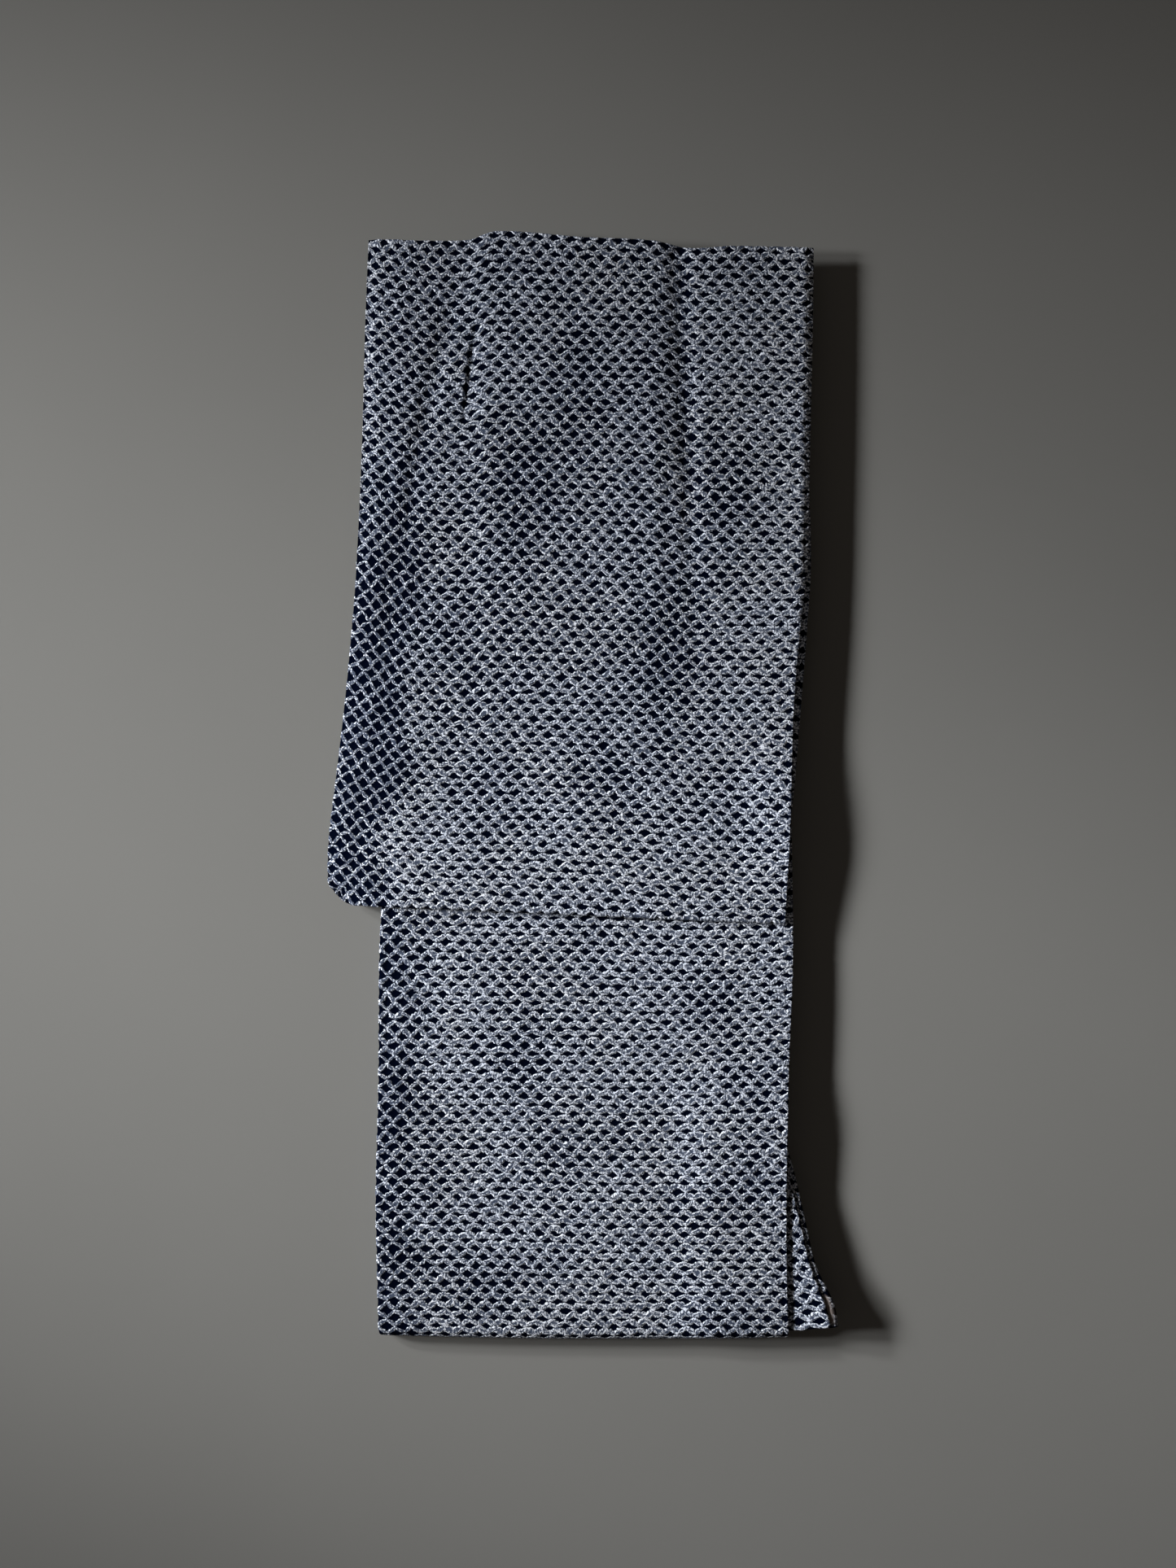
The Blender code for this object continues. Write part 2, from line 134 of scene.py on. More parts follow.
def stations(marks, step):      # marks with even steps of about this size between them
    result = [marks[0]]
    for start, end in zip(marks, marks[1:]):
        count = max(round((end - start) / step), 1)
        result += [start + (end - start) * k / count for k in range(1, count + 1)]
    return np.array(result)


def flatSlab(across, down, patches):    # flat cloth from -0.5 to 0.5, its top finer in the patches
    slab = bmesh.new()
    columns, rows = len(across) - 1, len(down) - 1
    bmesh.ops.create_grid(slab, x_segments=columns, y_segments=rows, size=0.5)
    for vert in slab.verts:
        i = round((vert.co.x + 0.5) * columns)
        j = round((vert.co.y + 0.5) * rows)
        vert.co = Vector((across[i], down[j], 0.5))
    bmesh.ops.solidify(slab, geom=slab.faces[:], thickness=1.0)
    low = min(vert.co.z for vert in slab.verts)
    bmesh.ops.translate(slab, verts=slab.verts[:], vec=(0.0, 0.0, -0.5 - low))
    for left, right, top, bottom, cutsAcross, cutsDown in patches:
        for alongU, count in ((True, cutsAcross), (False, cutsDown)):
            if count < 1:
                continue
            edges = set()
            for face in slab.faces:
                spot = face.calc_center_median()
                if left < spot.x < right and top < spot.y < bottom and spot.z > 0.4:
                    for edge in face.edges:
                        run = edge.verts[0].co - edge.verts[1].co
                        if (abs(run.x) > abs(run.y)) == alongU:
                            edges.add(edge)
            bmesh.ops.subdivide_edges(slab, edges=list(edges), cuts=count, use_grid_fill=True)
    bmesh.ops.recalc_face_normals(slab, faces=slab.faces[:])
    return slab


def foldCloth(name, slab, place, flip, cells, openedAndShaded, thickness, relief, shadedBare=None):
    # Every point of the flat cloth goes to its folded place
    slab.verts.ensure_lookup_table()
    flat = np.array([vert.co for vert in slab.verts])
    u, v, side = flat[:, 0], flat[:, 1], flat[:, 2]
    middle = place(u, v)
    acrossRun = place(u + slopeStep, v) - place(u - slopeStep, v)
    downRun = place(u, v + slopeStep) - place(u, v - slopeStep)
    normal = np.cross(acrossRun, downRun) * flip
    normal /= np.maximum(np.linalg.norm(normal, axis=1), 0.001 * tiny)[:, None]
    a, b = cells(u, v)
    openAndShaded = openedAndShaded(middle[:, 0], middle[:, 1], u, v)
    proud = side * thickness + (side > 0.0) * relief(middle, u, v, a, b, openAndShaded)
    points = (middle + normal * proud[:, None] - np.array([*boxMiddle, 0.0])) * mm
    bmesh.ops.triangulate(slab, faces=[face for face in slab.faces if len(face.verts) > 4])
    mesh = bpy.data.meshes.new(name)
    slab.to_mesh(mesh)
    slab.free()
    mesh.vertices.foreach_set("co", points.ravel())
    corners = np.zeros(len(mesh.loops), dtype=np.int32)
    mesh.loops.foreach_get("vertex_index", corners)
    uv = mesh.uv_layers.new(name="cells")
    uv.data.foreach_set("uv", np.stack([a, b], axis=1)[corners].ravel())
    # this mask also carries painted shadow along the sleeve's pleat, and brings more painted crimp
    # shade where ties opened
    masks = {"openedAndShaded": openAndShaded}
    if shadedBare is not None:
        masks["shadedBare"] = shadedBare(middle, u, v)
    for title, values in masks.items():
        mesh.attributes.new(title, "FLOAT", "POINT").data.foreach_set("value", values)
    mesh.shade_smooth()
    mesh.update()
    piece = bpy.data.objects.new(name, mesh)
    bpy.context.collection.objects.link(piece)
    outwards = bmesh.new()      # corners without area close up, and all faces turn outwards
    outwards.from_mesh(mesh)
    bmesh.ops.dissolve_degenerate(outwards, dist=2.0 * tiny, edges=outwards.edges[:])
    bmesh.ops.recalc_face_normals(outwards, faces=outwards.faces[:])
    outwards.to_mesh(mesh)
    outwards.free()
    print(name, len(mesh.polygons), "faces")
    return piece


cuts = 7        # of every step of the cloth where its puckers show

# Body: a back-and-forth section of four passes, doubled over at the lower edge
body = {
    "y": (-400.0, -350.0, -298.0, -219.0, -130.0, -69.0, 38.0, 162.0, 395.0),
    "left": (-149.2, -150.2, -151.0, -149.2, -148.6, -146.2, -146.0, -146.0, -147.0),
    "right": (149.8, 148.6, 148.6, 150.0, 153.3, 152.7, 151.5, 156.5, 160.5),
    "height": (15.2, 15.3, 14.9, 15.5, 15.1, 14.9, 14.9, 15.0, 14.8),
    "cloth": 1.25, "passes": 4,
    "lowerEdge": -403.1, "lowerEdgeSlope": -0.004, "lowerEdgeBow": 2.2,
    "shoulderEnd": 385.0, "hemEnd": 379.0,
    "edgePress": 1.2, "edgePressWidth": 16.0, "underHalfInset": 1.5,
    "foldSquareness": 0.82, "foldReach": 0.62,
    "insetLeft": (2.0, 2.0, 0.0, 0.0), "insetRight": (2.6, 1.3, 1.3, 0.0),
    "pocketHeight": 3.5, "pocketLeft": 58.0, "pocketSide": 40.0,
    "pocketTop": -198.0, "pocketFade": 50.0,
    "run": 300.0, "turn": 4.0,          # flat lengths of a pass and of the fold after it
    "half": 786.0, "bend": 26.0,        # and of each half and of the lower edge's bend
    "openEdge": 0.85, "openFrom": 8.0, "openTo": 48.0,      # ties have opened at the left folds
    "openSway": 6.0, "openLength": 70.0,
    "hemLeft": -89.1, "hemRight": -101.3,   # above this line the sleeve presses the puckers flat
    "hemFrom": -1.0, "hemTo": 2.0,
    "seen": 330.0, "puckerEnd": 13.0,       # of the top pass, and past its lower edge
    "border": 6.0, "columnStep": 12.0, "hiddenColumn": 26.0, "turnSteps": 6,
    "rowStep": 12.5, "hiddenRow": 24.0, "bendStep": 2.2,
}
clearance = 0.5                             # between pieces
slow = {"height": 0.35, "x": 45.0, "y": 56.0, "slant": 29.0, "share": 0.6, "turn": 0.7,
        "topPhase": 0.4, "foldPhase": 1.9, "foldX": 40.0, "foldY": 60.0}


def slowWave(x, y, phase):      # slow unevenness of the top and of the folds' edges, in mm
    return slow["height"] * (np.sin(x / slow["x"] + phase) * np.cos(y / slow["y"] - phase)
                             + slow["share"] * np.sin((x + slow["turn"] * y) / slow["slant"]
                                                      + 2.0 * phase))


def plainHeight(x, y):      # of the stack, which is pressed flatter along its left folds
    left = readCurve(body, y, "left")
    pressed = body["edgePress"] * (1.0 - ease(left, left + body["edgePressWidth"], x))
    return readCurve(body, y, "height") - pressed


def stackHeight(x, y):
    left, right = readCurve(body, y, "left"), readCurve(body, y, "right")
    x = np.clip(x, left, right)
    return plainHeight(x, y) + (slowWave(x, y, slow["topPhase"])
                                * ease(left, left + body["edgePressWidth"], x))


def pitches(x, y):      # the layers' spacing below and above the stack's middle, and its height
    gaps = body["passes"] - 0.5
    middle = 0.5 * plainHeight(x, y)
    lower = (middle - 0.5 * body["cloth"]) / gaps
    upper = (stackHeight(x, y) - middle - 0.5 * body["cloth"]) / gaps
    return lower, upper, middle


def pocketLift(x, y):       # the top layer rises over the overlap panel
    left, top = body["pocketLeft"], body["pocketTop"]
    return (body["pocketHeight"] * ease(left, left + body["pocketSide"], x)
            * (1.0 - ease(top - body["pocketFade"], top, y)))


def bodyPlace(u, v):        # from a place on the flat cloth to its place in the stack
    passes = body["passes"]
    cycle = body["run"] + body["turn"]
    number = np.clip(np.floor(u / cycle), 0, passes - 1)
    rest = u - number * cycle
    leftwards = np.mod(number, 2.0) == 0.0
    share = np.minimum(rest / body["run"], 1.0)
    angle = math.pi * np.clip((rest - body["run"]) / body["turn"], 0.0, 1.0)
    across = np.where(leftwards, 1.0 - share, share)
    bulge = np.where(leftwards, -1.0, 1.0) * np.sin(angle)
    level = passes - 1 - number - (0.5 - 0.5 * np.cos(angle))
    half, bend = body["half"], body["bend"]
    turn = math.pi * np.clip((v - half) / bend, 0.0, 1.0)
    along = np.where(v < half, 1.0 - v / half, np.maximum((v - half - bend) / half, 0.0))

    under = turn / math.pi
    flatX = body["left"][0] + across * (body["right"][0] - body["left"][0])
    bow = body["lowerEdgeBow"] * (1.0 - (2.0 * across - 1.0) ** 2)
    foldLine = body["lowerEdge"] + body["lowerEdgeSlope"] * flatX - bow
    foldStart = foldLine + 0.5 * plainHeight(flatX, foldLine)
    end = body["shoulderEnd"] + (body["hemEnd"] - body["shoulderEnd"]) * under
    y = foldStart + along * (end - foldStart)

    pressed = readCurve(body, y, "height") - body["edgePress"]
    sidePitch = (pressed - body["cloth"]) / (2 * passes - 1)
    roam = (slowWave(slow["foldX"] * level, y + slow["foldY"] * under, slow["foldPhase"] + level)
            * (1.0 - level / passes))
    foldRoom = 0.5 * body["cloth"] + body["foldReach"] * sidePitch
    levels = np.arange(passes)
    left = (readCurve(body, y, "left") + foldRoom + roam + body["underHalfInset"] * under
            + np.interp(level, levels, body["insetLeft"]))
    right = (readCurve(body, y, "right") + roam - body["underHalfInset"] * under
             - np.interp(level, levels, body["insetRight"]))
    right = np.where((level > 0.0) & (level < passes - 1), right - foldRoom, right)
    x = left + across * (right - left) + body["foldReach"] * sidePitch * bulge

    lower, upper, middle = pitches(x, y)
    lift = pocketLift(x, y) * ease(passes - 2.0, passes - 1.0, level)
    squareness = 1.0 - (1.0 - body["foldSquareness"]) * level / (passes - 1)
    up = signedPower(np.cos(turn), squareness)
    out = signedPower(np.sin(turn), squareness)
    rise = np.where(up > 0.0, upper * (0.5 + level) + lift, lower * (0.5 + level))
    return np.stack([x, y - lower * (0.5 + level) * out, middle + rise * up], axis=1)


def bodyCells(u, v):
    a, b = tieRows(u, v, seeds["bodyRows"])
    return jittered(a, b, u, v, seeds["bodyTies"])


def bodyOpened(x, y, u, v):
    left = readCurve(body, y, "left")
    sway = body["openSway"] * wander(u, v, body["openLength"], seeds["bodyFold"])
    edge = 1.0 - ease(left + body["openFrom"], left + body["openTo"], x + sway)
    return np.maximum(body["openEdge"] * edge, looseness(u, v, seeds["bodyLoose"]))


def bodyRelief(middle, u, v, a, b, openAndShaded):
    topPass = (u < body["run"] + body["turn"] - tiny) & (v > body["half"] - body["seen"])
    share = (middle[:, 0] - body["left"][0]) / (body["right"][0] - body["left"][0])
    hem = body["hemLeft"] + (body["hemRight"] - body["hemLeft"]) * share
    free = ease(body["hemFrom"], body["hemTo"], hem - middle[:, 1])
    above = 1.0 - ease(body["half"], body["half"] + body["puckerEnd"], v)
    return tieRelief(a, b, openAndShaded) * topPass * free * above


print("body")
cycle = body["run"] + body["turn"]
bend = body["half"] + body["bend"]
length = bend + body["half"]
seen = body["half"] - body["seen"]
border = body["border"]
uStations = stations([0.0, border, body["run"] - border, body["run"]], body["columnStep"])
for number in range(1, body["passes"]):
    start = number * cycle
    end = start + body["run"]
    shares = np.arange(1, body["turnSteps"]) / body["turnSteps"]
    turning = start - body["turn"] + body["turn"] * shares
    passing = stations([start, start + border, start + 3.0 * border, end - 3.0 * border,
                        end - border, end], body["hiddenColumn"])
    uStations = np.concatenate([uStations, turning, passing])
vStations = np.concatenate([stations([0.0, border, seen], body["hiddenRow"])[:-1],
                            stations([seen, body["half"]], body["rowStep"])[:-1],
                            stations([body["half"], bend], body["bendStep"])[:-1],
                            stations([bend, length - border, length], body["hiddenRow"])])
slab = flatSlab(uStations, vStations, (
    (0.0, body["run"], seen, body["half"], cuts, cuts),
    (body["run"], cycle, seen, body["half"], 0, cuts),
    (0.0, body["run"], body["half"], bend, cuts, 0),
))
bodyCloth = foldCloth("bodyCloth", slab, bodyPlace, 1.0, bodyCells, bodyOpened,
                      body["cloth"], bodyRelief)

# Sleeve: a two-layer bag turned back over the body
sleeve = {
    "y": (-101.0, -45.0, 1.8, 61.6, 124.0, 162.0, 245.0, 337.0, 400.0),
    "left": (-186.6, -186.2, -180.8, -173.6, -167.6, -164.8, -160.8, -158.2, -155.6),
    "right": (147.2, 150.2, 151.8, 153.9, 159.2, 163.4, 165.0, 167.2, 167.8),
    "underRight": (146.0, 149.0, 154.2, 159.2, 164.2, 166.4, 164.0, 166.0, 166.6),
    "cloth": 1.4, "gap": 0.45,
    "cornerRadius": 17.0, "cornerReach": 38.0, "cornerPower": 1.3,
    "hemLeft": -87.6, "hemRight": -101.2,
    "collarLift": 1.8, "collarFadeFrom": 20.0, "collarFadeTo": 240.0,
    "collarSideFrom": 95.0, "collarSideTo": 150.0,
    "panelLeft": -83.0, "panelRight": 66.0, "panelHeight": 1.2, "panelSide": 15.0,
    "valleyX": 70.0, "valleyLean": -0.04, "valleyDepth": 1.7, "valleyWidth": 13.0,
    "cuffEnd": 162.0, "cuffFade": 12.0,
    "droopStart": 2.0, "droopPower": 1.9, "edgeRise": 15.0, "edgeFall": 0.22,
    "rollDrop": 3.0, "rollWidth": 10.0, "rollFrom": 20.0, "rollTo": 70.0,
    "liftHeight": 4.2, "liftY": -32.0, "liftHalf": 78.0, "liftWidth": 46.0,
    "run": 334.0, "half": 492.0, "fold": 4.0, "curl": 1.45,     # flat lengths
    "tipSpread": 0.2,           # keeps the points at the corner's tip apart
    "step": 12.8, "edgeStep": 4.3, "hiddenRow": 20.0, "foldStep": 0.5, "border": 6.0,
}
sleeveTop = {"x": (-156.0, -84.0, -62.0, 0.0, 50.0, 79.0, 110.0, 168.0),
             "y": (396.6, 395.4, 401.6, 397.4, 395.0, 389.6, 391.2, 390.6)}
trough = {"y": (-88.0, -57.0, -4.0, 59.0, 143.0, 207.0, 312.0, 375.0),
          "x": (-166.0, -165.0, -155.0, -145.0, -135.5, -125.0, -104.0, -86.0),
          "depth": (0.0, 0.9, 0.9, 0.2, 0.7, 1.3, 1.3, 0.2), "width": 13.0}
# The ties have opened beside the cuff side and in the valley, and a little over most of the sleeve
loosened = {
    "y": (-88.0, -57.0, -3.6, 61.6, 133.0, 215.0, 310.0, 375.0),
    "x": (-145.6, -140.0, -128.0, -123.0, -116.0, -101.0, -82.0, -74.0),
    "from": 22.0, "to": 14.0, "sway": 7.0, "length": 80.0,
    "full": 130.0, "spared": 300.0, "topSpared": 0.6,
    "reach": 62.0, "tilt": 0.15, "tiltPower": 1.5, "squeeze": 0.12,
    "valley": 0.6, "valleyFrom": 90.0, "valleyTo": 260.0,
    "rest": 0.25, "restFrom": -80.0, "restTo": 90.0, "tightFrom": 60.0, "tightTo": 130.0,
}
# A short pleat beside the folded collar, with a painted shadow line along it
tuck = {"from": (-79.3, 336.0), "to": (-88.2, 264.0), "depth": 1.8, "endPower": 0.3,
        "step": 1.2, "width": 6.0, "dark": 1.8, "darkWidth": 1.6}


def sleeveSewn(y):      # 1 along the sewn part of the cuff side, 0 along the open cuff
    return 1.0 - ease(sleeve["cuffEnd"] - sleeve["cuffFade"],
                      sleeve["cuffEnd"] + sleeve["cuffFade"], y)


def sleevePlan(across, along, isUpper):     # place on the table, inside the sleeve's outline
    rim = 0.5 * (2.0 * sleeve["cloth"] + sleeve["gap"])
    hemFrom, hemTo = sleeve["left"][0], sleeve["right"][0]
    x, y = np.zeros(np.shape(across)), np.zeros(np.shape(across))
    for _ in range(settleRounds):
        sewn = sleeveSewn(y)
        left = readCurve(sleeve, y, "left") + rim * sewn + sleeve["curl"] * (1.0 - sewn)
        right = np.where(isUpper, readCurve(sleeve, y, "right"),
                         readCurve(sleeve, y, "underRight"))
        x = left + across * (right - left)
        share = (x - hemFrom) / (hemTo - hemFrom)
        hem = sleeve["hemLeft"] + (sleeve["hemRight"] - sleeve["hemLeft"]) * share + rim
        top = readCurve(sleeveTop, x, "y", "x") - rim
        y = hem + along * (top - hem)
    radius = sleeve["cornerRadius"] - rim   # points near the square corner go behind a rounder one
    fromX, fromY = left + radius - x, hem + radius - y
    corner = (fromX > 0.0) & (fromY > 0.0)
    power = sleeve["cornerPower"]
    reachX, reachY = np.maximum(fromX, tiny), np.maximum(fromY, tiny)
    squeeze = np.maximum(reachX, reachY) / (reachX ** power + reachY ** power) ** (1.0 / power)
    return (np.where(corner, left + radius - fromX * squeeze, x),
            np.where(corner, hem + radius - fromY * squeeze, y))


def besideValley(x, y):     # 1 along the bottom of the valley
    valleyX = sleeve["valleyX"] + sleeve["valleyLean"] * (y - sleeveTop["y"][0])
    return bell(x - valleyX, sleeve["valleyWidth"])


def collarRelief(x, y):     # the hidden collar and its panel lift the sleeve
    beyond = ease(sleeve["collarSideFrom"], sleeve["collarSideTo"], x)
    ground = sleeve["collarLift"] * (1.0 - beyond)
    side = sleeve["panelSide"]
    panel = (sleeve["panelHeight"] * ease(sleeve["panelLeft"], sleeve["panelLeft"] + side, x)
             * (1.0 - ease(sleeve["panelRight"] - side, sleeve["panelRight"], x)))
    valley = sleeve["valleyDepth"] * besideValley(x, y)
    return (ground + panel - valley) * ease(sleeve["collarFadeFrom"], sleeve["collarFadeTo"], y)


def sleeveUnderside(x, y):
    left = readCurve(body, y, "left") + sleeve["droopStart"]
    right = readCurve(body, y, "right")
    side = readCurve(sleeve, y, "left")
    onBody = stackHeight(x, y) + clearance + collarRelief(x, y)
    below = (sleeve["hemLeft"] + sleeve["cornerReach"] - y) / sleeve["cornerReach"]
    outline = side + sleeve["cornerRadius"] * np.clip(below, 0.0, 1.0) ** 2
    dropped = np.clip((left - x) / (left - outline), 0.0, 1.0) ** sleeve["droopPower"]
    edge = sleeve["edgeRise"] - sleeve["edgeFall"] * (left - side)
    sunk = readCurve(trough, y, "depth") * bell(x - readCurve(trough, y, "x"), trough["width"])
    roll = (sleeve["rollDrop"] * ease(right, right + sleeve["rollWidth"], x)
            * ease(sleeve["rollFrom"], sleeve["rollTo"], y))
    lift = (sleeve["liftHeight"] * ease(right - sleeve["liftWidth"], right, x)
            * bell(y - sleeve["liftY"], sleeve["liftHalf"]))
    return onBody + (edge - onBody) * dropped - sunk - roll + lift


def sleevePlace(u, v):
    half, fold, curl = sleeve["half"], sleeve["fold"], sleeve["curl"]
    angle = math.pi * np.clip((v - half) / fold, 0.0, 1.0)
    layer = 0.5 - 0.5 * np.cos(angle)
    along = np.clip(np.where(v < half, v / half, 1.0 - (v - half - fold) / half), 0.0, 1.0)
    across = np.maximum(u, 0.0) / sleeve["run"]
    x, y = sleevePlan(across, along, layer > 0.5)
    pitch = sleeve["cloth"] + sleeve["gap"]
    slopeX = 0.5 * (sleeveUnderside(x + 1.0, y) - sleeveUnderside(x - 1.0, y))
    slopeY = 0.5 * (sleeveUnderside(x, y + 1.0) - sleeveUnderside(x, y - 1.0))
    steep = np.sqrt(1.0 + slopeX ** 2 + slopeY ** 2)
    z = sleeveUnderside(x, y) + (0.5 * sleeve["cloth"] + layer * pitch) * steep
    y = y + 0.5 * pitch * np.sin(angle)

    # Past the sewn edges the two layers curl towards each other and meet
    pastHem = np.maximum(v - (2.0 * half + fold), -v)
    past = np.clip(np.maximum(-u, pastHem), 0.0, curl)
    turn = sleeve["cornerPower"] - 1.0
    aside = x - readCurve(sleeve, y, "left") - sleeve["cornerRadius"]
    alongHem = aside > -tiny
    aside = -np.maximum(-aside, 0.0) ** turn
    down = -np.maximum(sleeve["hemLeft"] + sleeve["cornerRadius"] - y, 0.0) ** turn
    size = np.where(alongHem, 1.0, np.maximum(np.hypot(aside, down), tiny))
    outX, outY = np.where(alongHem, 0.0, aside / size), np.where(alongHem, -1.0, down / size)
    atTip = (u < tiny) & (pastHem > -tiny)
    apart = sleeve["tipSpread"] * (-u - pastHem) / curl * atTip
    outX, outY = outX + apart * outY, outY - apart * outX
    sewn = np.where(alongHem, 1.0, sleeveSewn(y))
    radius = 0.5 * pitch
    reach = sewn * radius * np.sin(past / radius) + (1.0 - sewn) * past
    close = sewn * radius * (1.0 - np.cos(past / radius)) * steep
    return np.stack([x + outX * reach, y + outY * reach,
                     z + close * np.where(layer > 0.5, -1.0, 1.0)], axis=1)


def sleeveCells(u, v):
    beside = np.maximum(loosened["reach"] - u, 0.0)     # the rows rise towards the cuff side
    rise = loosened["tilt"] * beside ** loosened["tiltPower"] / math.sqrt(loosened["reach"])
    a, b = tieRows(u, v, seeds["sleeveRows"])
    a = a - loosened["squeeze"] * beside / ties["across"]
    b = b + rise / ties["down"]
    return jittered(a, b, u, v, seeds["sleeveTies"])


def sleeveOpenedAndShaded(x, y, u, v):
    sway = loosened["sway"] * wander(u, v, loosened["length"], seeds["sleeveFold"])
    edge = readCurve(loosened, y, "x") + sway
    beside = 1.0 - ease(edge - loosened["from"], edge + loosened["to"], x)
    beside = beside * (1.0 - loosened["topSpared"] * ease(loosened["full"], loosened["spared"], y))
    valley = (loosened["valley"] * besideValley(x, y)
              * ease(loosened["valleyFrom"], loosened["valleyTo"], y))
    most = (loosened["rest"] * ease(loosened["restFrom"], loosened["restTo"], y)
            * (1.0 - ease(loosened["tightFrom"], loosened["tightTo"], x)))
    most = most + looseness(u, v, seeds["sleeveLoose"])
    # Painted shadow: a dark line beside the pleat, put into this mask as extra opening
    beyond, depth = besideTuck(x, y)
    shadow = tuck["dark"] * depth * bell(beyond - 0.5 * tuck["step"], tuck["darkWidth"])
    return np.maximum(np.maximum(beside, valley), np.maximum(most, shadow))


def besideTuck(x, y):       # how far right of the pleat, and how deep it is there, from 0 to 1
    share = np.clip((y - tuck["from"][1]) / (tuck["to"][1] - tuck["from"][1]), 0.0, 1.0)
    line = tuck["from"][0] + (tuck["to"][0] - tuck["from"][0]) * share
    return x - line, np.sin(math.pi * share) ** tuck["endPower"]


def sleeveRelief(middle, u, v, a, b, openAndShaded):
    beyond, depth = besideTuck(middle[:, 0], middle[:, 1])
    step = (tuck["depth"] * depth * ease(0.0, tuck["step"], beyond)
            * np.exp(-np.maximum(beyond, 0.0) / tuck["width"]))
    upper = ease(sleeve["half"], sleeve["half"] + sleeve["fold"], v)
    return (tieRelief(a, b, openAndShaded) - step) * upper


print("sleeve")
run, half, fold = sleeve["run"], sleeve["half"], sleeve["fold"]
end = 2.0 * half + fold
curled = sleeve["curl"] * np.array([0.33, 0.66, 1.0])
uStations = np.concatenate([-curled[::-1],
                            stations([0.0, run - sleeve["step"]], sleeve["step"])[:-1],
                            stations([run - sleeve["step"], run], sleeve["edgeStep"])])
vStations = np.concatenate([-curled[::-1],
                            stations([0.0, sleeve["border"], half], sleeve["hiddenRow"])[:-1],
                            stations([half, half + fold], sleeve["foldStep"])[:-1],
                            stations([half + fold, end], sleeve["step"]),
                            end + curled])
slab = flatSlab(uStations, vStations, (
    (0.0, run, half + fold, end, cuts, cuts),
    (-sleeve["curl"], 0.0, half + fold, end, 0, cuts),
    (0.0, run, end, end + sleeve["curl"], cuts, 0),
    (0.0, run, half, half + fold, cuts, 0),
))
sleeveCloth = foldCloth("sleeveCloth", slab, sleevePlace, -1.0, sleeveCells, sleeveOpenedAndShaded,
                        sleeve["cloth"], sleeveRelief)

# Overlap panel: two layers, splayed out at the lower right
overlap = {
    "y": (-396.0, -376.5, -350.5, -319.7, -283.6, -258.0),
    "inner": (104.0, 107.0, 111.0, 115.0, 121.0, 127.0),
    "underEdge": (186.2, 182.2, 169.8, 162.6, 154.4, 147.2),
    "upperEdge": (180.8, 175.8, 166.0, 158.8, 149.6, 143.0),
    "cloth": 1.2, "gap": 0.45,
    "foldInner": -397.9, "foldTip": -394.3, "tipFrom": 150.0, "tipTo": 189.0, "tipRise": 5.8,
    "run": 60.0, "half": 137.0, "fold": 3.0,        # flat lengths
    "bareRim": 1.5, "bareFade": 1.5, "bareWidth": 9.0, "bareTop": -372.0,   # the undyed edge, its colour darkened with painted shadow
    "open": 0.25, "cellShift": (0.4, 0.3),
    "step": 3.0, "foldStep": 0.5,
}


def overlapPlace(u, v):
    half, fold = overlap["half"], overlap["fold"]
    pitch = overlap["cloth"] + overlap["gap"]
    angle = math.pi * np.clip((v - half) / fold, 0.0, 1.0)
    layer = 0.5 - 0.5 * np.cos(angle)
    along = np.clip(np.where(v < half, 1.0 - v / half, (v - half - fold) / half), 0.0, 1.0)
    across = u / overlap["run"]
    x, y = np.full(np.shape(u), overlap["tipFrom"]), np.zeros(np.shape(u))
    for _ in range(settleRounds):
        reach = ease(overlap["tipFrom"], overlap["tipTo"], x)
        foldY = overlap["foldInner"] + (overlap["foldTip"] - overlap["foldInner"]) * reach
        y = foldY + 0.5 * pitch + 0.5 * overlap["cloth"] + along * (overlap["y"][-1] - foldY)
        inner = readCurve(overlap, y, "inner")
        under, upper = readCurve(overlap, y, "underEdge"), readCurve(overlap, y, "upperEdge")
        x = inner + across * (under + (upper - under) * layer - inner)
    _, spacing, middle = pitches(x, y)
    # It lies on the layer below the body's top one
    bed = middle + (body["passes"] - 1.5) * spacing + 0.5 * body["cloth"]
    rise = overlap["tipRise"] * ease(overlap["tipFrom"], overlap["tipTo"], x)
    z = bed + clearance + 0.5 * overlap["cloth"] + layer * pitch + rise
    return np.stack([x, y - 0.5 * pitch * np.sin(angle), z], axis=1)


def overlapCells(u, v):
    shiftA, shiftB = overlap["cellShift"]
    return jittered(u / ties["across"] + shiftA, v / ties["down"] + shiftB, u, v,
                    seeds["overlapTies"])


def overlapOpened(x, y, u, v):
    return np.full(np.shape(x), overlap["open"])


def overlapRelief(middle, u, v, a, b, openAndShaded):
    return tieRelief(a, b, openAndShaded) * (v > overlap["half"])


def overlapBare(middle, u, v):      # the undyed edge of the under layer shows at the tip, in painted shadow of the upper layer
    inside = overlap["run"] - u
    rim = ease(overlap["bareRim"], overlap["bareRim"] + overlap["bareFade"], inside)
    under = (v < overlap["half"]) & (middle[:, 1] < overlap["bareTop"])
    return rim * (inside < overlap["bareWidth"]) * under


print("overlap")
run, half, fold = overlap["run"], overlap["half"], overlap["fold"]
end = 2.0 * half + fold
slab = flatSlab(stations([0.0, run], overlap["step"]),
                np.concatenate([stations([0.0, half], overlap["step"])[:-1],
                                stations([half, half + fold], overlap["foldStep"])[:-1],
                                stations([half + fold, end], overlap["step"])]),
                (((0.0, run, half + fold, end, 1, 1),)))
overlapCloth = foldCloth("overlapCloth", slab, overlapPlace, 1.0, overlapCells, overlapOpened,
                         overlap["cloth"], overlapRelief, overlapBare)
